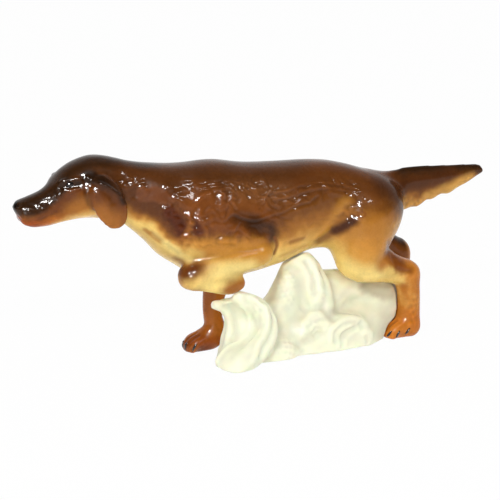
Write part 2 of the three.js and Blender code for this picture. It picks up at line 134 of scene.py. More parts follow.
def new_object(name, corners, faces):
    mesh = bpy.data.meshes.new(name)
    mesh.from_pydata([tuple(c) for c in to_row(corners)], [], faces)
    mesh.update()
    return linked(name, mesh)


def outer_skin(corners, faces, voxel):
    """A closed even mesh round all the forms, without what it encloses."""
    rough = new_object("rough", corners, faces)
    drawn = rough.modifiers.new("drawn", "REMESH")
    drawn.mode = "VOXEL"
    drawn.voxel_size = voxel * MM
    mesh = rough.evaluated_get(bpy.context.evaluated_depsgraph_get()).to_mesh()
    points = np.empty(len(mesh.vertices) * 3)
    mesh.vertices.foreach_get("co", points)
    quads = np.empty(len(mesh.loops), np.int64)
    mesh.loops.foreach_get("vertex_index", quads)
    points, quads = points.reshape(-1, 3) / MM - ORIGIN, quads.reshape(-1, 4)
    bpy.data.objects.remove(rough)
    shell = shells(quads, len(points))
    kept = shell == shell[np.argmin(points[:, 0])]
    number = np.cumsum(kept) - 1
    return points[kept], number[quads[kept[quads[:, 0]]]]


def shells(faces, count):
    """For every corner the lowest number of a corner that it hangs together with."""
    shell = np.arange(count)
    while True:
        least = shell[faces].min(1)
        lower = shell.copy()
        for corner in faces.T:
            np.minimum.at(lower, corner, least)
        lower = lower[lower]
        if (lower == shell).all():
            return shell
        shell = lower


def sides_of(quads):
    """The edges of all faces, each in its face's turning sense."""
    return np.concatenate([quads[:, [n, (n + 1) % 4]] for n in range(4)])


def edges_of(quads):
    return np.unique(np.sort(sides_of(quads), axis=1), axis=0)


def neighbour_mean(values, edges):
    one, other = edges.T
    count = np.bincount(edges.ravel(), minlength=len(values))
    sums = [
        np.bincount(one, column[other], len(values)) + np.bincount(other, column[one], len(values))
        for column in np.atleast_2d(values.T)
    ]
    return (np.stack(sums, -1) / count[:, None]).reshape(values.shape)


def relaxed(values, edges, rounds, give=1.0):
    """The values drawn towards their neighbours' mean. Where give is 0 they stay."""
    give = np.broadcast_to(give, len(values)).reshape((-1,) + (1,) * (values.ndim - 1))
    for _ in range(rounds):
        values = values + 0.5 * give * (neighbour_mean(values, edges) - values)
    return values


def normals_of(points, quads):
    across = np.cross(points[quads[:, 2]] - points[quads[:, 0]], points[quads[:, 3]] - points[quads[:, 1]])
    total = np.stack([
        sum(np.bincount(quads[:, n], way, len(points)) for n in range(4)) for way in across.T
    ], -1)
    return total / np.maximum(np.linalg.norm(total, axis=1, keepdims=True), 1e-12)


# Paths and noise


def smooth_path(path, steps=6):
    """The path as an even curve through all its points."""
    path = np.asarray(path, float)
    if len(path) < 3:
        return path
    ends = np.concatenate([[2 * path[0] - path[1]], path, [2 * path[-1] - path[-2]]])
    share = np.linspace(0, 1, steps, endpoint=False)[:, None]
    curve = [
        b + share * (c - a) / 2
        + share**2 * (2 * a - 5 * b + 4 * c - d) / 2
        + share**3 * (3 * b - a - 3 * c + d) / 2
        for a, b, c, d in zip(ends, ends[1:], ends[2:], ends[3:])
    ]
    return np.concatenate([*curve, path[-1:]])


def distance_to(path, points, reach):
    """Distance of every point to a path. Farther off than reach it is only known to be more."""
    path = smooth_path(path)
    near = np.flatnonzero(((points > path.min(0) - reach) & (points < path.max(0) + reach)).all(1))
    close = np.full(len(near), np.inf)
    for start, span in zip(path, np.diff(path, axis=0, append=path[-1:])):
        offset = points[near] - start
        share = np.clip(offset @ span / max(span @ span, 1e-9), 0, 1)
        close = np.minimum(close, np.linalg.norm(offset - share[:, None] * span, axis=1))
    distance = np.full(len(points), np.inf)
    distance[near] = close
    return distance


def noise(points, length, seed):
    """Soft uneven noise, mostly between -1 and 1, with swells of about the given length."""
    rng = np.random.default_rng(seed)
    total = np.zeros(len(points))
    waves = 7
    for _ in range(waves):
        way = rng.normal(size=3)
        way *= 2 * math.pi / (length * rng.uniform(0.75, 1.35) * np.linalg.norm(way))
        total += np.sin(points @ way + rng.uniform(0, 2 * math.pi))
    return total / math.sqrt(waves)


def uneven(points, parts):
    """A sum of such noises: height, length and seed of each."""
    return sum(height * noise(points, length, seed) for height, length, seed in parts)


def step(values, low, high):
    share = np.clip((values - low) / (high - low), 0, 1)
    return share * share * (3 - 2 * share)


def mirrored(points):
    """Every point on the dog's left side, where the carvings and strokes are laid down."""
    return np.stack([points[:, 0], -np.abs(points[:, 1]), points[:, 2]], 1)


def linear(srgb):
    c = np.asarray(srgb, float) / 255
    return np.where(c <= 0.04045, c / 12.92, ((c + 0.055) / 1.055) ** 2.4)


# Relief

# Grooves cut into both sides of the dog: path, width, depth. A depth below 0 stands out.
DOG_FOLDS = [
    # head
    ([(-111, -9.6, 107.6), (-107, -11.4, 108.4), (-102, -12.4, 108.6)], 2.4, 0.9),  # eye socket
    ([(-110.4, -9, 111), (-107, -10.4, 112.4), (-102, -11.4, 111.8)], 1.2, -0.8),  # brow
    ([(-110, -11, 106.4), (-106.4, -12.2, 106.2), (-102.4, -12.8, 107.2)], 0.9, -0.6),  # lower lid
    ([(-134.4, -3, 92.2), (-132, -5, 91), (-127, -7.5, 90), (-120, -8, 91.4), (-113.5, -9, 94.4)],
     0.75, 0.5),  # mouth
    ([(-130, -5.5, 94), (-124, -8, 94), (-118, -8.5, 95.6)], 2, -0.35),  # lip
    ([(-135.6, -2.3, 98.6), (-134.6, -3.4, 98.2), (-133.6, -3.6, 99)], 0.75, 1.1),  # nostril
    ([(-133, -4.4, 97), (-131.4, -5.2, 99), (-131.6, -4.4, 101.6)], 0.8, 0.4),  # nose edge
    ([(-127, -6.5, 100), (-119, -8, 103), (-113, -9.4, 107)], 2.2, 0.2),  # under the stop
    ([(-98, -12, 112), (-98.6, -13, 107), (-98.2, -14, 102), (-96.4, -14, 97), (-93.5, -13, 92)],
     1.6, 0.3),  # ear's front edge
    ([(-97, -12.4, 112.6), (-93, -15, 110.6), (-88, -17, 108), (-84, -17.6, 104), (-81, -17.6, 99)],
     1.3, -0.9),  # fold along the ear
    ([(-95, -14, 109), (-91, -17, 106), (-87, -18, 103), (-85, -18.4, 99)], 1.5, 0.45),
    ([(-93, -17, 101), (-92.4, -17.4, 96.6), (-90.4, -18, 92)], 2.4, 0.5),  # ear's hollow
    ([(-86.5, -18, 98), (-84.6, -18.6, 92), (-85, -18.6, 87)], 2, 0.35),
    # neck and shoulder
    ([(-78, -10, 112), (-72, -13, 104), (-66, -15, 95), (-61, -15.5, 86)], 3, 0.45),
    ([(-61, -13, 78), (-57, -14, 74), (-51, -15.5, 69), (-47, -15, 66)], 1.6, 0.5),
    ([(-50, -19, 100), (-46, -21, 92), (-46, -21.5, 86), (-45, -21.5, 80)], 2.4, 0.55),
    ([(-41, -21.5, 96), (-36, -23, 87), (-34, -23.6, 79)], 2.6, -0.4),
    # flank and haunch
    ([(36, -16, 67), (43, -18, 76), (48, -19.4, 81), (52, -19.6, 86), (56, -20, 89)],
     2.6, -0.6),  # fold of skin in front of the thigh
    ([(39, -15, 64), (46, -17, 70), (51, -19, 76), (56, -21, 79)], 2.8, 0.55),  # groin
    ([(58, -21.5, 84.6), (61.5, -22.6, 83), (61.5, -22.6, 79), (57.6, -22, 77.4)], 1.1, 0.15),
    ([(17, -19.6, 66), (23, -19.6, 67.4), (30, -18, 66)], 2.2, 0.4),
    ([(79, -22, 62), (83.5, -20.4, 56), (84.5, -21, 49)], 2.4, 0.6),
    ([(86, -20.6, 45), (90, -20.4, 43), (95, -20, 42)], 1.3, 0.4),
    ([(96, -7, 96), (97.4, -9, 91), (97, -10, 85), (95.5, -12, 79)], 1.3, 0.6),  # rump
]

# Grooves of one side: behind the upper arm, at the elbow and along the raised forearm
SIDE_FOLDS = [
    ([(-17, -24, 85), (-10, -24, 82), (-2, -23, 77), (7, -22, 72), (9, -21.4, 67)], 3, 0.7),
    ([(9.5, -21, 68), (11, -20, 64), (9, -18, 59)], 1.2, 0.9),
    ([(-26, -23, 74), (-17, -23.6, 70), (-7, -23, 67), (1, -22, 65)], 2.6, 0.45),
    ([(-40, -22, 66), (-44, -21.6, 61)], 1.6, 0.35),  # faint
]
# Toe grooves
for toes_x, toes_y in ((106.5, -12.5), (112, 12.5), (-11.5, 9)):
    for row in (-4.6, 0.0, 4.6):
        SIDE_FOLDS.append((
            [(toes_x - 25.6, toes_y + row, 0.5), (toes_x - 24, toes_y + row, 5),
             (toes_x - 20, toes_y + row * 0.95, 8.6), (toes_x - 16, toes_y + row * 0.9, 10.5)],
            0.95, 0.95,
        ))

# Raised places that catch the lamps: width, height, paths
GLINTS = [
    # shoulder
    (1.9, 0.7, [(-43, -15, 107), (-39, -15, 107)]),
    (2.9, 0.95, [(-49.5, -19, 98), (-46.5, -19.6, 96)]),
    (1.8, 0.6, [(-53, -17, 104.6), (-51, -17, 104)]),
    (1.7, 0.85, [(-37, -20, 95.6), (-34, -20, 98.4), (-30, -20, 99.6)]),
    (1.5, 0.5, [(-35, -19, 103), (-31, -19, 103)]),
    (1.8, 0.65, [(-23, -21, 99), (-22, -21, 98)]),
    (1.8, 0.7, [(-25, -23, 94), (-23, -22, 95)]),
    (1.6, 0.8, [(-42, -22, 89), (-42, -22, 85)]),
    (1.8, 0.8, [(-38, -23, 88), (-37.6, -23, 86)], [(-35, -24, 84.4), (-34, -24, 84)]),
    (1.2, 0.3, [(-36, -22, 92), (-36, -23, 90)]),
    (1.5, 0.6, [(-33, -24, 81), (-33, -24, 77)]),
    (1.7, 1.3, [(-24, -24, 72.6), (-20, -24, 72.2), (-16, -24, 71.8)]),
    # hip
    (2, 0.5, [(44, -18, 94), (48, -18, 93.4), (52, -18, 92)]),
    # neck
    (1.8, 0.8, [(-74.4, -11, 109.6), (-72.4, -12, 109.4)], [(-75, -13, 105.6), (-73, -13, 105.6)],
     [(-69.6, -13, 106), (-67.6, -14, 105.6)]),
    # ear
    (1.2, 0.5, [(-92, -16, 109), (-89, -17, 108), (-86, -17, 106), (-83, -18, 104), (-80, -18, 102)]),
    (1.3, 0.6, [(-91.4, -16.3, 109.4), (-90.6, -16.5, 109)], [(-88, -17.3, 107.8)],
     [(-85.4, -17.6, 106)], [(-83, -18, 104.2)], [(-80.8, -18, 102.2)]),
    (1.1, 0.3, [(-97, -12, 112), (-95, -13, 110)]),
    # muzzle
    (1.6, 0.4, [(-131, -7, 97), (-129, -7, 97)], [(-128, -7, 96), (-126, -8, 96)]),
    (1.5, 0.4, [(-123, -8, 97), (-122, -8, 96)]),
    (1.3, 0.4, [(-132, -7, 94), (-130, -8, 93), (-127, -8, 92.4), (-125, -8, 93)]),
    # groin
    (0.9, 0.2, [(50, -18, 73), (51, -19, 72)], [(54, -20, 71), (55, -21, 70)],
     [(47.6, -17, 71), (48.4, -17, 70)]),
    # pastern of the standing foreleg, which lies on the mirrored side
    (1.5, 0.25, [(-21, -4, 12.2)], [(-18.6, -3.4, 13.8)], [(-22.6, -5.4, 14)], [(-20.4, -3.6, 9.6)],
     [(-17.6, -3, 11.4)]),
]
DOG_FOLDS += [(path, width, -height) for width, height, *paths in GLINTS for path in paths]

# Locks of combed hair: each is a ridge with a groove below it
HAIR_LINES = [
    [(6, -20, 97), (17, -19, 97), (26, -17, 99), (39, -16, 99), (51, -16, 97), (62, -18, 93)],
    [(9, -21, 93), (21, -20, 94), (32, -18, 96), (42, -17, 96), (54, -18, 94)],
    [(11, -22, 85), (23, -21, 89), (31, -20, 90), (36, -19, 93)],
    [(2, -21, 92), (4, -20, 95), (8, -19, 98)],
    [(0, -22, 90), (-1, -20, 97), (-4, -18, 100), (-13, -17, 104), (-20, -17, 105)],
    [(-15, -23, 91), (-18, -22, 95), (-21, -24, 90), (-22, -24, 85), (-17, -24, 88), (-11, -23, 85),
     (-3, -23, 83), (7, -22, 85), (11, -22, 86)],
    [(-18, -19, 101), (-14, -20, 99), (-13, -21, 96), (-17, -21, 96)],
    [(-21, -24, 78), (-16, -24, 79), (-13, -23, 83)],
]
HAIR_RIDGE, HAIR_GROOVE = (0.75, -0.4), (0.8, 0.45)  # width and depth
HAIR_DROP = 1.5  # how far below its ridge a groove lies
for line in HAIR_LINES:
    DOG_FOLDS.append((line, *HAIR_RIDGE))
    DOG_FOLDS.append(([(x, y, z - HAIR_DROP) for x, y, z in line], *HAIR_GROOVE))

# Uneven locks of the tail's lower edge: place along the tail, length, how far each hangs down
FRINGE = [(102, 3.2, 0.5), (109, 3, 1.2), (114.6, 2.4, -0.7), (119, 3, 0.5), (124, 2.6, -0.4),
          (129.6, 3.6, 1), (137, 3.4, -0.5), (142, 3, 0.3)]
FRINGE_START = 100  # the place along the tail that the top of the fringe is given for
FRINGE_TOP, FRINGE_RISE, FRINGE_BLEND = 90.0, 0.13, 14.0


# Folds of the rock: path, width, depth
ROCK_FOLDS = [
    # scroll: the tongue's hollow, the broad band with its two rims, and the step behind it
    ([(-19, -20, 34), (-16, -20, 30), (-14, -19, 25), (-15, -21, 19), (-17, -22, 16)], 3, 2.5),
    ([(-12.6, -23, 37), (-8, -21, 31), (-6, -20, 26), (-6, -21, 20), (-9, -23, 16), (-15, -25, 13),
      (-21, -26, 11), (-26, -27, 8), (-28, -27, 4)], 1.8, -1.2),
    ([(-20, -12, 22), (-21.6, -13, 18), (-23, -15, 14), (-25, -18, 11)], 3.2, 2.6),
    ([(-9, -25, 35), (-4, -26, 30), (-3, -26, 24), (-5, -25, 18), (-10, -27, 15), (-17, -32, 12),
      (-23, -36, 9)], 2.8, 0.8),
    ([(-7, -24, 39), (-3, -26, 36), (1, -27, 34), (2, -29, 29), (1, -31, 23), (-2, -33, 19), (-7, -36, 14),
      (-9, -38, 10), (-12, -40, 6)], 1.9, -1.2),
    ([(-6, -25, 37.5), (-3.4, -27, 34), (-2, -28, 31)], 1.4, 0.7),
    ([(0, -25, 37), (4, -26, 33), (5.4, -29, 28), (4.4, -31, 23), (0.6, -34, 17), (-3.6, -37, 13),
      (-6, -38, 8)], 2.4, 1.8),
    ([(12, -13, 30), (14, -16, 28), (15, -18, 22)], 2.8, -0.8),
    ([(-19, -20.5, 36.5), (-16, -22, 38.5), (-14, -23, 40.5)], 1.9, -2),
    # crest
    ([(25, -10, 53), (29, -12, 50), (32, -14, 44), (33, -14, 36), (34, -16, 28)], 1.9, -0.7),
    ([(32, -12, 52), (34.4, -14, 47), (35.4, -15, 42), (35.4, -15, 37)], 1.5, 0.9),
    ([(36, -13, 51), (38.4, -15, 46), (39, -16, 40), (38.6, -17, 33), (35, -17, 28)], 2, -0.7),
    ([(22, -9, 49), (25, -12, 46), (27, -13, 40), (28, -14, 33), (29, -14, 26)], 2.6, 0.9),
    ([(20, -12, 44), (20, -13, 38), (19, -15, 33)], 3.4, -0.6),
    ([(42, -13, 47), (43.4, -16, 40), (43, -18, 33), (40, -20, 27.6), (36, -20, 26)], 2.7, 1.4),
    ([(21, -7, 48), (17, -5, 43), (14, -7, 38), (12, -10, 33)], 2.8, 0.7),
    # leaves
    ([(27, -22, 20), (32, -20, 23), (36, -21, 25), (38, -22, 23)], 1.8, -0.8),
    ([(29, -24, 17.4), (34, -23, 19.6), (38, -22, 20.6)], 1.3, 0.8),
    ([(39, -21, 26), (42, -22, 22), (44.6, -23, 19.4)], 2.2, 1.1),
    ([(45, -21, 23), (50, -17, 22), (56, -18, 21.4), (63, -18, 20)], 2.2, 1),
    ([(25, -24, 12), (30, -24, 16), (35, -23, 18), (41, -23, 16.4)], 2.1, -0.7),
    ([(27, -23, 8), (34, -22, 10), (39, -25, 12)], 1.9, 0.4),
    # shell
    ([(42, -25, 8), (42, -25, 13), (46, -25, 17), (51, -24, 19), (57, -23, 19), (62, -22, 17)], 1.4, -0.9),
    ([(44.6, -25, 7), (45, -25, 12), (48.6, -25, 15.4), (53, -24, 16.8), (58, -23, 16.6)], 1.2, 0.7),
    ([(47.4, -25, 4), (48, -24, 9), (50.4, -24, 13), (56, -24, 14.4)], 1.2, -0.5),
    ([(49.4, -25, 3.4), (50.2, -25, 8), (52.6, -24, 11), (58, -23, 12.6)], 1.1, 0.6),
    ([(51.6, -25, 2.4), (52.6, -24, 6), (55.4, -23, 8.6), (61, -22, 11)], 1.2, -0.5),
    ([(62.4, -22, 15), (64, -22, 12)], 1.8, 0.8),
    ([(65, -22, 9.4), (69, -21, 8.4), (70, -21, 5), (68, -22, 1.4)], 1.7, -0.7),
    ([(66.4, -22.6, 6), (66.8, -22.6, 3)], 1.3, 0.7),
    # mound, and the slopes round it
    ([(7, -29, 9), (14, -26, 11.6), (21, -25, 8.4), (25, -25, 3.6)], 1.9, 0.7),
    ([(6, -32, 6), (14, -29, 7.4), (21, -26.6, 4)], 2.4, -0.5),
    ([(71, -10, 34), (74, -10, 28), (81, -12, 26)], 2.6, 0.5),
    ([(50, -12, 36), (49, -14, 30), (51, -15, 25)], 2.8, 0.6),
    ([(60, -10, 34), (66, -9, 28), (68, -11, 22)], 3.6, -0.4),
]
ROCK_SWELLS = [(0.12, 7, 21)]  # its uneven surface: height, length, seed
GROOVE_REACH = 2.6  # how many widths from its path a groove has run out


def carved(points, folds):
    """How far every point moves out along its normal."""
    relief = np.zeros(len(points))
    for path, width, depth in folds:
        distance = distance_to(path, points, GROOVE_REACH * width)
        relief -= depth * np.exp(-((distance / width) ** 2))
    return relief


def fringe(points):
    """How far the tail's lower edge hangs down in uneven locks."""
    x, _, z = points.T
    low = step(FRINGE_TOP + FRINGE_RISE * (x - FRINGE_START) - z, 0, FRINGE_BLEND)
    return low * sum(depth * np.exp(-(((x - place) / length) ** 2)) for place, length, depth in FRINGE)


HOLLOW_ROUNDS = 14  # how wide a hollow still gathers glaze and painted shade
HOLLOW_DEPTH = 0.22  # how deep a hollow is where the glaze is thickest and the painted shade darkest


def pooled_and_shaded(points, normals, edges):
    """Painted shade and pooled glaze (1, in hollows), painted highlight and thin glaze (-1, on ridges)."""
    offset = ((relaxed(points, edges, HOLLOW_ROUNDS) - points) * normals).sum(1)
    return np.clip(relaxed(offset, edges, rounds=2) / HOLLOW_DEPTH, -1, 1)


LUMPY_EDGE = (0.4, 1.1)  # shares of its reach between which a place of small glaze lumps ends
# Such places: the lumps' length and height, the place's reach, path
ROCK_LUMPY = [
    (2.6, 0.22, 8, [(20, -13, 44), (20, -14, 34)]),  # left of the crest
    (3.2, 0.16, 7, [(-3, -26, 30), (-4, -26, 20)]),  # the scroll's band
    (3, 0.2, 8, [(8, -27, 10), (18, -26, 6)]),  # mound
    (3, 0.2, 7, [(28, -24, 14), (38, -23, 15)]),  # leaves
    (3, 0.14, 8, [(38, -16, 44), (38, -17, 34)]),  # right of the crest
]
LUMPY = [
    (3, 0.08, 6, [(-132, -6, 97), (-122, -8, 98), (-113, -9, 102)]),  # muzzle
    (4.6, 0.26, 7, [(-76, -13, 106), (-68, -14, 104)]),  # neck behind the ear
    (4, 0.22, 9, [(-54, -19, 90), (-46, -21, 80), (-36, -23, 80)]),  # point of the shoulder
    (2, 0.1, 4, [(46, -16, 69), (52, -20, 73), (55, -22, 75)]),  # groin
    (3.4, 0.06, 7, [(-15, -3, 18), (-18, -3, 13), (-24, -4, 10)]),  # standing foreleg's pastern
    (3.4, 0.22, 7, [(97, -20, 22), (97, -20, 12)]),  # hind pastern
    (3.4, 0.2, 7, [(99, -5, 80), (108, -4, 80)]),  # root of the tail's fringe
]


# Combed coat: how far its strands are apart and how deep they are
STRANDS, FINE_STRANDS = (3.9, 0.34), (2.7, 0.2)
COMB = (0.42, 0.82)  # the way, in x and z, that the strands lie across
# How they wave, how the fine ones stray, and the lumps between them: height, length, seed
COMB_WAVES, FINE_WAVES, COAT_LUMPS = [(3.4, 24, 3), (1.3, 9, 4)], [(2, 12, 9)], [(0.24, 6.5, 5)]
# The coat's patches on the shoulder and the flank: the soft front, rear, lower and upper edge
COMBED = [((-60, -48), (-2, 12), (66, 74), (102, 109)), ((0, 10), (52, 68), (72, 80), (95, 103))]


def fur(left):
    """Wavy hair on the shoulders, flanks and haunches, as combed into the clay."""
    x, _, z = left.T
    across = COMB[0] * x + COMB[1] * z + uneven(left, COMB_WAVES)
    strand = np.clip(np.sin(across * (2 * math.pi / STRANDS[0])), 0, 1) ** 2
    fine = np.clip(np.sin(across * (2 * math.pi / FINE_STRANDS[0]) + uneven(left, FINE_WAVES)), 0, 1) ** 2
    patches = [
        step(x, *front) * (1 - step(x, *rear)) * step(z, *low) * (1 - step(z, *high))
        for front, rear, low, high in COMBED
    ]
    unbroken = step(noise(left, 20, 6), -1, 0.3)
    amount = np.clip(sum(patches), 0, 1) * unbroken
    relief = uneven(left, COAT_LUMPS) - STRANDS[1] * strand - FINE_STRANDS[1] * fine
    return amount * relief + lumps_of(left, LUMPY)


def lumps_of(points, lumpy):
    """Small lumps of glaze round paths."""
    relief = np.zeros(len(points))
    for length, height, reach, path in lumpy:
        distance = distance_to(path, points, LUMPY_EDGE[1] * reach)
        near = 1 - step(distance / reach, *LUMPY_EDGE)
        relief += height * near * noise(points, length, round(10 * length))
    return relief


EYE_CENTRE, EYE_RADII = (-106.4, 10.3, 109.2), (2.1, 1.5, 1.7)
CLAW_RADIUS = 0.72
CLAW_TAPER = (0.5, math.pi - 0.2)  # the part of a sine's hump that the thickness follows
# Each leg's claws, from the toe's back to its tip
CLAWS = {
    "left_hind": [
        [(85, -16.6, 6), (83.4, -15.6, 3.4), (82, -14.6, 0.9)],
        [(90.4, -19.4, 6), (89, -18.8, 3.4), (88.4, -18.6, 0.7)],
        [(96.4, -19.8, 6.4), (95, -19.2, 3.6), (94, -19, 0.9)],
    ],
    "right_hind": [
        [(91.5, 17, 6), (89.9, 15.6, 3.4), (88.9, 15, 0.9)],
        [(89, 12.5, 6.4), (87.6, 12.5, 4), (86.8, 12.5, 1)],
        [(91.5, 8, 6), (89.9, 9.4, 3.4), (88.9, 10, 0.9)],
    ],
    "right_fore": [
        [(-30, 1.4, 6.4), (-31.4, 2, 4), (-32.2, 2.6, 1)],
        [(-34.4, 6.6, 6.4), (-35.6, 7, 4), (-36.4, 7, 1.2)],
        [(-34, 13, 6), (-35.2, 12.6, 4), (-35.6, 12.2, 1)],
    ],
}


# Colour

BOTH, ONE, EARS = "both sides", "one side", "ears"
CREAM = (224, 190, 106)
PALE = (232, 206, 126)
HONEY = (184, 106, 22)
TAN = (160, 102, 40)
SIENNA = (124, 68, 26)
RED_BROWN = (76, 28, 2)
UMBER = (44, 25, 9)
GLAZE_WHITE = (241, 240, 214)
DOG_POOL_SHADE, ROCK_POOL_SHADE = 0.24, 0.09  # painted shade in hollows and highlight on ridges, also pooled and thin glaze
DOG_STRENGTH = 1.06  # the dog's lightness where neither painted shade nor highlight is laid on

# Where the brown of the back gives way to the pale underside: x, the height there, and how far
# the change is drawn out
WATERLINE = np.array([
    (-136, 92, 1.5), (-128, 90.5, 2), (-120, 90, 3), (-112, 91, 3), (-105, 94, 3), (-97, 97, 3),
    (-88, 99, 3), (-75, 98, 2.5), (-67, 91.4, 2.4), (-61, 86.4, 2.2), (-57, 82, 2.2), (-52, 77, 2.2),
    (-47, 74, 2.2), (-42, 73, 2.4), (-33, 75, 3), (-20, 73, 3), (-6, 71, 3.5), (2, 72, 4),
    (12, 78, 5.5), (24, 80, 6.5), (34, 82, 7), (44, 84, 8), (53, 83, 8), (62, 80, 8), (70, 79, 8),
    (80, 82, 7), (90, 82, 5), (97, 83, 3), (108, 83, 3), (121, 86.5, 3), (131, 89.5, 2.6),
    (142, 92, 2.2), (155, 95, 1.5),
])
DRIFT = [(1.6, 16, 11), (0.7, 5, 12)]  # how the line wanders: height, length, seed
# The colours across that change, in lengths of it below and above the line
SHADES = [
    (-3.4, CREAM), (-2.2, (206, 156, 76)), (-1.2, (168, 112, 44)), (-0.4, (144, 90, 32)),
    (0.4, (114, 67, 23)), (1.4, (100, 56, 20)), (3, (94, 51, 18)), (4.5, (82, 45, 17)),
]
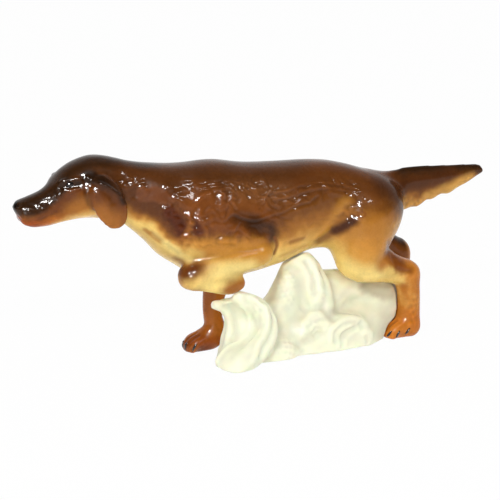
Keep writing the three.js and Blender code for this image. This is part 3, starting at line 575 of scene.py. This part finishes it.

# Airbrush strokes in order, with painted shade and light where marked: colour, radius to half strength,
# softness, strength, sides, path
STROKES = [
    # head
    (UMBER, 8, 0.5, 0.85, BOTH,
     [(-134, 0, 101), (-124, -2, 104), (-113, -3, 109), (-106, -4, 115), (-92, -4, 121), (-76, -3, 118),
      (-60, 0, 116)]),
    ((98, 50, 14), 7.4, 0.7, 0.9, BOTH,
     [(-118, -8, 92), (-112, -9, 98), (-107, -12, 102), (-101, -14, 104)]),
    (UMBER, 4.2, 0.4, 0.9, BOTH,
     [(-134, -3, 97.5), (-128, -7, 97), (-121, -8, 99.4), (-115, -9, 105), (-110, -10, 110)]),
    ((146, 66, 16), 4.4, 0.6, 0.95, BOTH,
     [(-133.5, 0, 88.5), (-128, -5, 87), (-121, -5, 85.6), (-114, -5, 86)]),
    (HONEY, 6, 0.8, 0.7, BOTH, [(-116, -4, 85), (-105, -8, 88), (-97, -10, 89)]),
    ((176, 112, 40), 4.5, 0.9, 0.6, BOTH, [(-105, -12, 95), (-100, -13, 98)]),
    ((228, 184, 96), 5, 0.8, 0.95, BOTH, [(-110, -2, 84), (-104, -6, 86), (-97, -9, 89), (-88, -9, 90)]),
    (UMBER, 2.5, 0.7, 0.95, BOTH, [(-110.5, -9.6, 109), (-107, -11, 109.8), (-102, -12, 109.6)]),
    # ears
    ((112, 60, 20), 40, 0.2, 1, EARS, [(-88, -18, 95)]),
    ((150, 92, 34), 8, 0.8, 0.9, EARS, [(-90, -18, 90), (-85, -18, 85)]),
    ((84, 44, 14), 5, 0.8, 0.7, EARS, [(-93, -17, 107), (-87, -18, 104), (-83, -18, 100)]),
    ((34, 18, 6), 3.6, 0.5, 0.95, BOTH,
     [(-97, -12, 113), (-92, -14, 112), (-86, -16.6, 109), (-81, -17, 104.6), (-78.4, -17, 100)]),
    # painted shadow line along the ear's front edge
    (UMBER, 1.1, 0.8, 0.3, BOTH, [(-98.6, -13, 110), (-98.8, -14, 104), (-97.4, -14, 98)]),
    # neck and chest
    ((82, 44, 15), 10, 0.6, 0.8, BOTH, [(-74, -12, 109), (-66, -15, 103), (-58, -17, 98)]),
    ((122, 70, 40), 4.4, 0.25, 0.5, BOTH, [(-66, -14, 101), (-59, -16, 101), (-54, -17, 98)]),
    ((196, 158, 84), 7, 0.9, 0.5, BOTH, [(-64, -8, 74), (-54, -10, 64)]),
    (TAN, 1.5, 0.7, 0.75, BOTH, [(-64, -11, 80), (-58, -13, 74), (-52, -15, 69)]),
    (TAN, 1.7, 0.7, 0.7, BOTH, [(-68, -5, 75), (-60, -6, 67), (-53, -7, 60)]),
    (PALE, 2.2, 0.6, 0.6, BOTH, [(-60, -14, 77), (-54, -16, 72), (-48, -17, 68)]),
    # shoulder
    (SIENNA, 12, 0.6, 0.7, BOTH, [(-36, -23, 93), (-22, -25, 87), (-6, -24, 84)]),
    ((124, 76, 38), 7, 0.9, 0.5, BOTH, [(-12, -20, 98), (2, -20, 97), (14, -20, 95)]),
    (RED_BROWN, 3.4, 0.45, 0.85, BOTH, [(-53, -19, 91), (-48.5, -21, 85), (-46, -21, 79)]),
    (RED_BROWN, 2.6, 0.45, 0.8, BOTH, [(-39.4, -23, 83), (-37.4, -23, 79), (-36, -23, 75.6)]),
    ((150, 90, 32), 1.5, 0.9, 0.7, BOTH, [(-47, -20, 74), (-43.4, -22, 79), (-41, -22, 84)]),
    # upper arm, elbow and forearm
    ((120, 66, 22), 4, 0.8, 0.7, ONE, [(-14, -24, 77), (-6, -24, 75), (2, -23, 72)]),
    # painted shade: dark strokes along the groove behind the upper arm, between arm and ribs
    ((72, 38, 12), 4, 0.9, 0.9, ONE, [(-14, -24, 85), (-9, -24, 83), (-2, -23, 80), (5, -22, 76)]),
    ((50, 26, 8), 4, 0.9, 0.9, ONE, [(-5, -24, 81), (1, -23, 77.6), (5.4, -22, 74.6), (7, -22, 72)]),
    ((132, 78, 34), 4.5, 0.9, 0.75, ONE, [(-6, -24, 69), (-2, -24, 70), (1, -24, 71)]),
    # more painted shade just below that groove
    ((72, 38, 12), 3, 0.8, 0.6, ONE, [(-4, -24, 75), (1, -23, 74)]),
    # painted shade in the elbow crease
    (SIENNA, 0.9, 0.7, 0.8, ONE, [(9, -22, 71), (11.2, -20, 66), (10, -18, 60)]),
    ((180, 128, 56), 2, 0.9, 0.7, BOTH, [(-14, -16, 51), (-6, -17, 54), (2, -17, 57)]),
    ((190, 138, 66), 1.8, 0.9, 0.6, BOTH, [(16, -16, 58), (24, -15, 60), (32, -14, 62)]),
    ((186, 126, 46), 7, 0.6, 0.9, ONE, [(-34, -24, 68), (-16, -24, 66), (-2, -25, 64)]),
    ((232, 206, 128), 4.4, 0.8, 0.9, ONE, [(-36, -24, 55), (-23, -26, 56), (-8, -26, 56)]),
    (PALE, 5, 0.5, 0.8, ONE, [(-36, -21, 47), (-24, -23, 45), (-16, -22, 45)]),
    # painted shade under the raised foreleg's wrist
    (TAN, 3.6, 0.7, 0.7, ONE, [(-46, -18, 50), (-38, -20, 46)]),
    ((140, 78, 22), 5, 0.7, 0.95, ONE, [(-19, -24, 44), (-11, -24, 46)]),
    ((170, 104, 38), 7, 0.8, 0.8, ONE, [(-45, -18, 58), (-38, -24, 60)]),
    ((92, 44, 14), 5, 0.7, 0.95, ONE, [(-48, -15, 58), (-45, -22, 56.6), (-40, -24, 60)]),
    (PALE, 2.6, 0.8, 0.85, BOTH, [(-54, -15, 71), (-47, -15, 66), (-41, -17, 63)]),
    (CREAM, 2.6, 0.9, 0.6, BOTH, [(-41, -19, 67), (-36, -21, 65.4)]),
    (TAN, 2.2, 0.9, 0.45, BOTH, [(-61, -13, 77.6), (-57, -14.4, 75)]),
    # standing foreleg
    ((150, 80, 20), 14, 0.3, 0.95, ONE,
     [(-11, 9, 44), (-16, 9, 34), (-17.5, 9, 22), (-18, 9, 8), (-30, 9, 3)]),
    (HONEY, 3.8, 0.8, 0.8, ONE, [(-12, 3, 34), (-12, 3, 22), (-11, 3, 11)]),
    ((146, 80, 24), 4, 0.8, 0.9, ONE, [(-22, 6, 36), (-23, 6, 24), (-24, 6, 16)]),
    ((104, 46, 10), 5, 0.8, 0.9, ONE, [(-36, 9, 4), (-30, 5, 8), (-24, 4, 4)]),
    ((138, 68, 16), 3.4, 0.9, 0.85, ONE, [(-29, 2, 8), (-22, 2, 6), (-16, 2, 6)]),
    # thigh and groin
    ((170, 112, 42), 12, 0.7, 0.8, BOTH, [(60, -24, 68), (72, -25, 64), (86, -20, 58)]),
    ((196, 132, 48), 8, 0.8, 0.7, BOTH, [(62, -26, 56), (76, -24, 56)]),
    (PALE, 5, 0.8, 0.75, BOTH, [(54, -20, 48), (58, -22, 47), (66, -24, 44), (72, -23, 43)]),
    ((166, 98, 30), 3.6, 0.9, 0.85, BOTH, [(74.5, -24, 49), (79, -22, 51), (84, -20, 49)]),
    (SIENNA, 1.4, 0.9, 0.7, BOTH, [(20, -19, 66.6), (24, -19, 67), (28, -18, 67.6)]),
    ((186, 130, 56), 2.8, 0.9, 0.5, BOTH, [(38, -16, 68), (44, -18, 76), (51, -19, 86), (54, -20, 87)]),
    # painted shade: darker brown down into the groin's hollow, darkest at its core
    ((110, 60, 20), 3.2, 0.9, 0.8, BOTH, [(40, -13, 64), (46, -16, 68), (53, -20, 73.4), (57, -22, 77)]),
    ((58, 24, 4), 2.6, 0.8, 0.9, BOTH, [(48, -17, 70), (53, -20, 73.4), (56.6, -22, 76)]),
    (SIENNA, 0.7, 0.7, 0.7, BOTH,
     [(59, -23, 80), (61, -23, 81.4), (63.4, -24, 80.4), (62.6, -24, 78.6), (60, -23, 78.4),
      (59, -23, 80)]),
    ((66, 34, 12), 9, 0.8, 0.9, BOTH, [(80, -15, 94), (87, -15, 89), (91, -14, 82)]),
    # hind legs
    (HONEY, 8, 0.6, 0.9, BOTH, [(91, -18, 50), (97, -16, 42), (99, -14, 34)]),
    (HONEY, 9, 0.5, 0.95, BOTH, [(99, -12, 34), (99, -12, 14)]),
    ((182, 102, 22), 14, 0.5, 0.95, BOTH, [(88, -12, 2), (104, -12, 4)]),
    ((150, 84, 24), 13, 0.4, 0.95, ONE, [(97, 11, 56), (104, 11, 44), (107, 12, 30), (107, 12, 8)]),
    ((46, 25, 10), 6.6, 0.6, 0.95, ONE, [(95, 7, 58), (100, 8, 57), (103, 7, 54)]),
    ((110, 58, 16), 4, 0.8, 0.8, ONE, [(96, 4, 50), (102, 4, 46)]),
    # painted reflection: a light edge along the far hind leg's outline
    ((204, 132, 52), 3, 0.9, 0.8, ONE, [(109, 7, 52), (110, 9, 44)]),
    ((112, 58, 18), 5, 0.8, 0.95, ONE, [(82, -20, 56), (86, -19, 51), (88, -18, 47)]),
    ((120, 62, 18), 2.2, 0.9, 0.8, ONE, [(86, -21, 46), (90, -20, 44), (95.4, -20, 42.4)]),
    ((156, 88, 20), 2.6, 0.9, 0.7, ONE, [(92, -18, 32), (91, -18, 22), (87, -18, 12)]),
    # tail
    (UMBER, 6.5, 0.7, 0.95, BOTH, [(98, 0, 101), (124, 0, 100), (151, 0, 98)]),
    ((70, 36, 14), 4.4, 0.8, 0.8, BOTH, [(98, -5, 90), (112, -4, 91), (128, -4, 94)]),
    ((206, 150, 70), 3.4, 0.8, 0.8, BOTH, [(98, -5, 79), (106, -4, 77.6), (114, -4, 80)]),
    ((200, 150, 72), 3, 0.9, 0.75, BOTH, [(114, -4, 81), (124, -3.6, 84), (134, -3, 87), (142, -3, 89.6)]),
    ((110, 62, 22), 1.8, 0.9, 0.6, BOTH, [(100.4, -5, 76), (101, -5, 81)]),
    ((110, 62, 22), 1.5, 0.9, 0.5, BOTH, [(104, -5, 80), (107, -4, 82)]),
    ((120, 70, 28), 1.1, 0.9, 0.5, BOTH, [(113, -4, 85), (118, -4, 82)]),
    # painted shade along the crease where the haunch meets the tail
    (UMBER, 1.5, 0.8, 0.8, BOTH, [(93, -7, 99), (96.6, -9, 91), (96, -11, 84), (95, -12, 78)]),
    # nose
    ((16, 10, 8), 3.4, 0.4, 1, BOTH, [(-137, 0, 97), (-136, 0, 100)]),
]
# Painted shade on the rock, in the same form: in its hollows, grooves and slopes, and under the hind leg
ROCK_SHADE_STROKES = [
    ((232, 231, 206), 10, 0.8, 0.8, ONE, [(10, -20, 24), (22, -20, 16)]),
    ((238, 236, 210), 14, 0.7, 0.85, ONE, [(66, -12, 26), (80, -12, 22)]),
    ((214, 209, 184), 7, 0.9, 0.8, ONE, [(88, -12, 26), (86, -13, 14), (81, -16, 6)]),
    # painted shadow and painted reflection of the hind leg, where the rock lies under it
    ((190, 180, 152), 4.6, 0.6, 0.9, ONE, [(72, -10, 33), (79, -11, 30), (87, -12, 28)]),
    ((206, 202, 176), 4, 0.8, 0.7, ONE, [(17, -6, 44), (14, -7, 38), (12, -10, 33)]),
    ((232, 232, 206), 5, 0.6, 0.8, ONE, [(-19, -20, 34), (-16, -20, 30), (-14, -19, 25), (-15, -21, 19)]),
    ((230, 228, 202), 3, 0.8, 0.7, ONE, [(22, -9, 49), (25, -12, 46), (27, -13, 40), (28, -14, 33)]),
    ((214, 210, 184), 3, 0.8, 0.7, ONE, [(40, -21, 26), (43, -22, 21), (46, -20, 23), (54, -18, 22)]),
]
RAGGED = [(0.07, 7, 13), (0.03, 2.4, 14)]  # the strokes' edges: share of the radius, length, seed
STROKE_REACH = 1.3  # how many radii from its path a hard-edged stroke ends at the most


def airbrushed(points, on_ears):
    """The dog's colours, soft-edged as they were sprayed, with painted shade and a painted reflection
    among them.
    """
    left = mirrored(points)
    x, _, z = points.T
    line, drawn_out = (np.interp(x, WATERLINE[:, 0], WATERLINE[:, n]) for n in (1, 2))
    height = (z - line + uneven(left, DRIFT)) / drawn_out
    levels = [level for level, _ in SHADES]
    shades = np.array([linear(shade) for _, shade in SHADES])
    paint = np.stack([np.interp(height, levels, shades[:, n]) for n in range(3)], -1)
    return sprayed(paint, points, left, STROKES, on_ears)


def sprayed(paint, points, left, strokes, on_ears):
    """The paint with soft-edged strokes over it, in order."""
    ragged = 1 + uneven(left, RAGGED)
    for colour, radius, softness, strength, sides, path in strokes:
        reach = radius * (STROKE_REACH + softness)
        distance = distance_to(path, points if sides == ONE else left, reach) * ragged
        cover = strength * (1 - step(distance / radius, 1 - softness, 1 + softness))[:, None]
        if sides == EARS:
            cover = cover * on_ears[:, None]
        paint += cover * (linear(colour) - paint)
    return paint


# Pieces

# Borders are smoothed in rounds of votes, where each face beside counts 1
VOTES, OWN_VOTE = 6, 1.2


def owned(points, quads, nodes):
    """The number of the section that each face of the skin belongs to, without islands."""
    sections = [section(node) for node in nodes]
    owners = np.repeat(np.arange(len(nodes)), [len(faces) for _, faces in sections])
    corners, faces = joined(sections)
    tree = BVHTree.FromPolygons(corners.tolist(), faces)
    label = owners[[tree.find_nearest(Vector(c))[2] for c in points[quads].mean(1)]]
    one, other = faces_beside(quads)
    for _ in range(VOTES):
        votes = np.zeros((len(quads), len(nodes)))
        votes[np.arange(len(quads)), label] = OWN_VOTE
        np.add.at(votes, (one, label[other]), 1)
        np.add.at(votes, (other, label[one]), 1)
        label = votes.argmax(1)
    return label


def faces_beside(quads):
    """Pairs of faces that share an edge."""
    edges = np.sort(sides_of(quads), axis=1)
    face = np.tile(np.arange(len(quads)), 4)
    order = np.lexsort(edges.T)
    edges, face = edges[order], face[order]
    first = np.flatnonzero((edges[1:] == edges[:-1]).all(1))
    return face[first], face[first + 1]


def rim_of(quads):
    """The edges that only one face has, in that face's turning sense."""
    edges = sides_of(quads).tolist()
    turned = {(b, a) for a, b in edges}
    return [edge for edge in edges if tuple(edge) not in turned]


def flat_normal(corners):
    across = np.cross(corners[1] - corners[0], corners[-1] - corners[0])
    return across / max(np.linalg.norm(across), 1e-9)


def cones(points, quads, normals):
    """For every open rim a cap that points inwards: its new corners and its triangles."""
    rim = np.array(rim_of(quads))
    ring = shells(rim, len(points))[rim[:, 0]]
    tips, faces = [], []
    for first in np.unique(ring):
        edges = rim[ring == first]
        around = edges[:, 0]
        middle = points[around].mean(0)
        depth = np.linalg.norm(points[around] - middle, axis=1).mean()
        faces += [[b, a, len(points) + len(tips)] for a, b in edges]
        tips.append(middle - depth * normals[around].mean(0))
    return np.array(tips), faces


def glazed_piece(node, points, skinned, plain_faces, normals, paint):
    """A piece of the skin, shaded with the whole skin's normals where it shows.

    Corners past the end of normals are inside the figurine.
    """
    faces = [list(face) for face in (*skinned, *plain_faces)]
    used, place = np.unique(np.concatenate(faces), return_inverse=True)
    ends = np.cumsum([len(face) for face in faces])
    placed = [part.tolist() for part in np.split(place, ends[:-1])]
    obj = new_object("glazed_" + node, points[used], placed)
    shown = used < len(normals)
    rows = np.ones((len(used), 4))
    rows[:, :3] = paint[np.where(shown, used, used[0])]
    layer = obj.data.color_attributes.new("paint", "FLOAT_COLOR", "POINT")
    layer.data.foreach_set("color", rows.ravel())
    bends = [normals[n] for face in skinned for n in face]
    bends += [bend for face in plain_faces for bend in [flat_normal(points[list(face)])] * len(face)]
    obj.data.shade_smooth()
    obj.data.normals_split_custom_set([tuple(bend) for bend in bends])
    slot = SLOTS.get(node, "brown_glaze")
    obj.data.materials.append(GLAZES[slot])
    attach(obj, "root")
    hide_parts(node)


# Materials


class Nodes:
    """A short way to lay out the nodes of a material or of the world."""

    def __init__(self, owner):
        owner.use_nodes = True
        self.tree = owner.node_tree

    def fill(self, name, inputs):
        """Sets inputs of the node with that name, or links them where a socket is given."""
        node = self.tree.nodes[name]
        for key, value in inputs.items():
            if isinstance(value, bpy.types.NodeSocket):
                self.tree.links.new(value, node.inputs[key])
            else:
                node.inputs[key].default_value = value

    def add(self, kind, inputs=None, **settings):
        node = self.tree.nodes.new("ShaderNode" + kind)
        for key, value in settings.items():
            setattr(node, key, value)
        self.fill(node.name, inputs or {})
        return node

    def noise(self, length, detail=3):
        """Noise whose swells are about as long as given, in millimetres."""
        place = self.add("TexCoord").outputs["Object"]
        made = self.add("TexNoise", {"Vector": place, "Scale": 1 / (length * MM), "Detail": detail})
        return made.outputs["Fac"]

    def ranged(self, value, low, high, start=0.25, end=0.75):
        """From low to high while the value goes from start to end, where most noise lies."""
        inputs = {"Value": value, "From Min": start, "From Max": end, "To Min": low, "To Max": high}
        return self.add("MapRange", inputs).outputs["Result"]

    def ray(self, *kinds):
        """1 for rays of any of these kinds."""
        path, share = self.add("LightPath").outputs, 0.0
        for kind in kinds:
            either = self.add("Math", {0: share, 1: path[f"Is {kind} Ray"]}, operation="MAXIMUM")
            share = either.outputs["Value"]
        return share

    def bump(self, length, strength, height, **under):
        """Normals bent by noise that is so high, in millimetres."""
        inputs = {"Height": self.noise(length, detail=2), "Strength": strength, "Distance": height * MM}
        return self.add("Bump", inputs | under).outputs["Normal"]


# Lengths of the glaze's noises: fine and broad changes of colour, changes of polish, ripples and grain
MOTTLE, CLOUD, POLISH, RIPPLE, GRAIN = 1.1, 12.0, 5.0, 3.2, 0.7


def glazed(name, rough, coat=0.5, tint=0.12, subsurface=0.0):
    """Painted porcelain under a clear glaze that runs thick and thin, with painted shade and highlight."""
    material = bpy.data.materials.new(name)
    made = Nodes(material)
    paint = made.add("Attribute", attribute_name="paint").outputs["Color"]
    mottle = made.ranged(made.noise(MOTTLE, detail=4), 1 - 0.5 * tint, 1 + 0.5 * tint)
    cloud = made.ranged(made.noise(CLOUD), 1 - tint, 1 + tint)
    strength = made.add("Math", {0: mottle, 1: cloud}, operation="MULTIPLY").outputs["Value"]
    colour = made.add("VectorMath", {0: paint, "Scale": strength}, operation="SCALE")
    ripple = made.bump(RIPPLE, 0.25, 0.2)
    made.fill("Principled BSDF", {
        "Base Color": colour.outputs["Vector"],
        "Roughness": made.ranged(made.noise(POLISH), rough * 0.75, rough * 1.3),
        "Specular IOR Level": 0.05,
        "Normal": made.bump(GRAIN, 0.12, 0.08, Normal=ripple),
        "Coat Weight": coat,
        "Coat Roughness": 0.02,
        "Coat IOR": 1.4,
        "Coat Normal": ripple,
        "Subsurface Weight": subsurface,
        "Subsurface Scale": 2 * MM,
    })
    return material


def plain(name, colour, rough):
    """Glaze of one slightly mottled colour."""
    material = bpy.data.materials.new(name)
    made = Nodes(material)
    mottle = made.ranged(made.noise(1.2, detail=4), 0.8, 1.2)
    base = made.add("VectorMath", {0: tuple(linear(colour)), "Scale": mottle}, operation="SCALE")
    made.fill("Principled BSDF", {
        "Base Color": base.outputs["Vector"],
        "Roughness": made.ranged(made.noise(1.5), rough * 0.8, rough * 1.2),
        "Specular IOR Level": 0.2,
        "Coat Weight": 1.0,
        "Coat Roughness": 0.03,
    })
    return material


# The dog and its rock

SLOTS = {
    "raised_left_foreleg": "cream_glaze", "standing_right_foreleg": "amber_glaze",
    "left_hind_leg": "amber_glaze", "right_hind_leg": "amber_glaze",
    **dict.fromkeys(ROCK, "white_glaze"),
}
GLAZES = {name: glazed(name, 0.26) for name in ("brown_glaze", "cream_glaze", "amber_glaze")}
GLAZES["white_glaze"] = glazed("white_glaze", 0.3, coat=0.25, tint=0.03, subsurface=0.25)


def drawn_skin(nodes, voxel, plugs=()):
    meshes = [section(node, SWELL_STUCK_ON if node in STUCK_ON else SWELL) for node in nodes]
    meshes += [ball(centre, (radius,) * 3) for centre, radius in plugs]
    return outer_skin(*joined(meshes), voxel)


def corner_share(points, quads, share):
    """For every corner the largest share that a face round it has."""
    most = np.zeros(len(points))
    np.maximum.at(most, quads.ravel(), np.repeat(share, 4))
    return most


def modelled(points, quads, edges, relief, hang=None):
    """The points moved by the relief, then let down as far as they hang, with their normals."""
    points = points + relaxed(relief, edges, rounds=1)[:, None] * normals_of(points, quads)
    points[:, 2] = np.maximum(points[:, 2] - (hang(points) if hang else 0), SHELF)
    return points, normals_of(points, quads)


def make_dog():
    points, quads = drawn_skin(DOG, VOXEL, [VENT])
    label = owned(points, quads, DOG)
    edges = edges_of(quads)
    torso, tail = label == DOG.index("torso"), label == DOG.index("tail")
    ears = (label == DOG.index("left_ear")) | (label == DOG.index("right_ear"))
    on_torso = relaxed(corner_share(points, quads, torso + TAIL_SHARE * tail), edges, TORSO_FADE)
    on_ears = relaxed(corner_share(points, quads, ears), edges, rounds=2)
    points = points - SWELL * normals_of(points, quads)
    points = relaxed(points, edges, DOG_ROUNDS)
    points = relaxed(points, edges, TORSO_ROUNDS, on_torso)
    left = mirrored(points)
    relief = carved(left, DOG_FOLDS) + carved(points, SIDE_FOLDS) + fur(left)
    paint = airbrushed(points, on_ears)
    points, normals = modelled(points, quads, edges, relief, fringe)
    # Painted shade in the hollows and a painted highlight on the ridges, which also stand for glaze that
    # pools and runs thin
    paint *= DOG_STRENGTH - DOG_POOL_SHADE * pooled_and_shaded(points, normals, edges)[:, None]
    for number, node in enumerate(DOG):
        mine = quads[label == number]
        tips, caps = cones(points, mine, normals)
        glazed_piece(node, np.concatenate([points, tips]), mine, caps, normals, paint)
    make_claws(points)


def black_piece(name, mesh, material):
    """A small piece beside the glazed ones."""
    obj = new_object(name, *mesh)
    obj.data.materials.append(material)
    obj.data.shade_smooth()
    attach(obj, "root")


def tube(path, radii, around=10):
    """A closed round stroke along a path, with a radius for each of its points."""
    askew = (0.3, 0.1, 0.9)  # no stroke runs this way
    corners = []
    for place, way, radius in zip(path, np.gradient(path, axis=0), radii):
        way = way / np.linalg.norm(way)
        side = np.cross(way, askew)
        side /= np.linalg.norm(side)
        other = np.cross(way, side)
        for n in range(around):
            turn = 2 * math.pi * n / around
            corners.append(place + radius * (side * math.cos(turn) + other * math.sin(turn)))
    faces = []
    for start in range(0, len(corners) - around, around):
        for n in range(around):
            m = (n + 1) % around
            faces.append([start + n, start + m, start + around + m, start + around + n])
    faces += [list(range(around))[::-1], list(range(len(corners) - around, len(corners)))]
    return np.array(corners), faces


def relaxed_line(path):
    """The path with every inner point drawn half-way to the middle of its neighbours."""
    path[1:-1] = (path[:-2] + 2 * path[1:-1] + path[2:]) / 4
    return path


def make_claws(points):
    """Claws drawn in black on the toes, where they touch the skin."""
    black = plain("claw_glaze", (20, 13, 9), 0.15)
    for leg, paths in CLAWS.items():
        for number, path in enumerate(paths, 1):
            path = smooth_path(path, steps=4)
            nearest = [np.argmin(((points - place) ** 2).sum(1)) for place in path]
            radii = CLAW_RADIUS * np.sin(np.linspace(*CLAW_TAPER, len(path)))
            black_piece(f"{leg}_claw_{number}", tube(relaxed_line(points[nearest]), radii), black)


def make_rock():
    """The scroll, leaves and crest are slabs that lie in hollows of the base."""
    points, quads = drawn_skin(ROCK, ROCK_VOXEL)
    label = owned(points, quads, ROCK)
    edges = edges_of(quads)
    points = relaxed(points - SWELL * normals_of(points, quads), edges, ROCK_ROUNDS)
    relief = carved(points, ROCK_FOLDS) + uneven(points, ROCK_SWELLS) + lumps_of(points, ROCK_LUMPY)
    points, normals = modelled(points, quads, edges, relief)
    paint = np.tile(linear(GLAZE_WHITE), (len(points), 1))
    # painted shade on the white glaze
    paint = sprayed(paint, points, points, ROCK_SHADE_STROKES, 0)
    # Painted shade in the rock's hollows and a painted highlight on its ridges, also for glaze that pools
    # and runs thin
    paint *= 1 - ROCK_POOL_SHADE * pooled_and_shaded(points, normals, edges)[:, None]
    count = len(points)
    points = np.concatenate([points, points - SLAB * normals])
    for number, node in enumerate(ROCK[1:], 1):
        mine = quads[label == number]
        walls = [(b, a, a + count, b + count) for a, b in rim_of(mine)]
        glazed_piece(node, points, mine, (mine[:, ::-1] + count).tolist() + walls, normals, paint)
    slabs = quads[label > 0]
    hollows = (slabs + count).tolist()
    hollows += [(a, b, b + count, a + count) for a, b in rim_of(slabs)]
    glazed_piece(ROCK[0], points, quads[label == 0], hollows, normals, paint)


def make_eyes():
    black = plain("eye_glaze", (22, 12, 8), 0.08)
    x, y, z = EYE_CENTRE
    for name, centre in (("left_eye", (x, -y, z)), ("right_eye", (x, y, z))):
        black_piece(name, ball(centre, EYE_RADII), black)


make_dog()
make_rock()
make_eyes()

# Studio

FLOOR_HALF = 3.0  # metres
FLOOR_GLOW = 0.97  # share of pure white where the floor shows
LAMP_AIM = (0, 0, 0.05)
# The world's strength as light, and as the room and the backdrop that the glaze reflects
AMBIENT, ROOM, BACKDROP = 0.6, 0.06, 0.9
BEYOND = (0.37, 0.93, 0)  # the camera's line of sight over the ground


def stage_floor():
    """A floor that lights the dog, but shows white to the camera and in glass or glaze."""
    mesh = bpy.data.meshes.new("floor")
    corners = [(x * FLOOR_HALF, y * FLOOR_HALF, 0) for x, y in ((-1, -1), (1, -1), (1, 1), (-1, 1))]
    mesh.from_pydata(corners, [], [(0, 1, 2, 3)])
    material = bpy.data.materials.new("floor")
    mesh.materials.append(material)
    made = Nodes(material)
    made.fill("Principled BSDF", {
        "Base Color": (0.96, 0.96, 0.96, 1),
        "Roughness": made.ranged(made.noise(40.0), 0.6, 0.7),
        "Specular IOR Level": 0.1,
    })
    seen = made.ray("Camera", "Glossy", "Transmission")
    share = made.add("Math", {0: seen, 1: FLOOR_GLOW}, operation="MULTIPLY").outputs["Value"]
    lit = made.tree.nodes["Principled BSDF"].outputs["BSDF"]
    glow = made.add("Emission", {"Strength": 1.0}).outputs["Emission"]
    mixed = made.add("MixShader", {0: share, 1: lit, 2: glow})
    made.fill("Material Output", {"Surface": mixed.outputs["Shader"]})
    floor = linked("floor", mesh)


def soft_box(name, place, size, watts, lights=True):
    """A lamp, or one that only shows as a reflection in the glaze."""
    data = bpy.data.lights.new(name, "AREA")
    data.shape = "RECTANGLE"
    data.size, data.size_y = size
    data.energy = watts
    lamp = linked(name, data)
    lamp.location = place
    lamp.rotation_euler = (Vector(LAMP_AIM) - Vector(place)).to_track_quat("-Z", "Y").to_euler()
    lamp.visible_diffuse = lights


def studio_world():
    """A white backdrop behind the dog, and a dim room on the camera's side of it."""
    world = bpy.data.worlds.new("studio")
    bpy.context.scene.world = world
    made = Nodes(world)
    way = made.add("TexCoord").outputs["Generated"]
    ahead = made.add("VectorMath", {0: way, 1: BEYOND}, operation="DOT_PRODUCT").outputs["Value"]
    reflected = made.ranged(ahead, ROOM, BACKDROP, start=0.0, end=0.9)
    strength = made.ranged(made.ray("Glossy"), AMBIENT, reflected, start=0.0, end=1.0)
    direct = made.ray("Camera", "Transmission")
    strength = made.ranged(direct, strength, 1.0, start=0.0, end=1.0)
    made.fill("Background", {"Color": (1, 1, 1, 1), "Strength": strength})


stage_floor()
soft_box("key", (-0.62, -0.78, 0.72), (0.13, 0.1), 3.15)
soft_box("second", (-0.25, -0.95, 0.85), (0.09, 0.07), 1.85)
soft_box("low", (-0.78, -0.86, 0.3), (0.1, 0.07), 1.1)
soft_box("fill", (0.4, -0.9, 0.8), (0.09, 0.06), 0.93)
soft_box("key_sparkle", (-0.62, -0.77, 0.7), (0.18, 0.14), 19, lights=False)
soft_box("second_sparkle", (-0.25, -0.94, 0.84), (0.14, 0.1), 12, lights=False)
soft_box("low_sparkle", (-0.5, -1.0, 0.4), (0.17, 0.1), 14, lights=False)
soft_box("fill_sparkle", (0.3, -0.92, 0.79), (0.22, 0.05), 1.3, lights=False)
studio_world()

# The photo's camera: where it stands round the dog, and the dog's place in the picture
AZIMUTH, ELEVATION = -22, 15
DISTANCE = 1100
PICTURE = 500  # the photo's width and height in pixels
PIXEL = 0.572  # millimetres at the dog for one of them
MIDDLE, MIDDLE_PIXEL = (0, 0, 50.5), (246, 265)
SENSOR = 36

turn = Euler((math.radians(90 - ELEVATION), 0, math.radians(AZIMUTH))).to_matrix()
right, up, back = turn.transposed()
aside, below = (PICTURE / 2 - pixel for pixel in MIDDLE_PIXEL)
aim = Vector(MIDDLE) + right * (aside * PIXEL) - up * (below * PIXEL)
camera = linked("camera", bpy.data.cameras.new("camera"))
camera.data.sensor_width = SENSOR
camera.data.lens = SENSOR * DISTANCE / (PICTURE * PIXEL)
camera.data.clip_start, camera.data.clip_end = 0.01, 20
camera.matrix_world = Matrix.Translation(to_row(aim + back * DISTANCE)) @ turn.to_4x4()
bpy.context.scene.camera = camera

bpy.context.scene.view_settings.view_transform = "Standard"
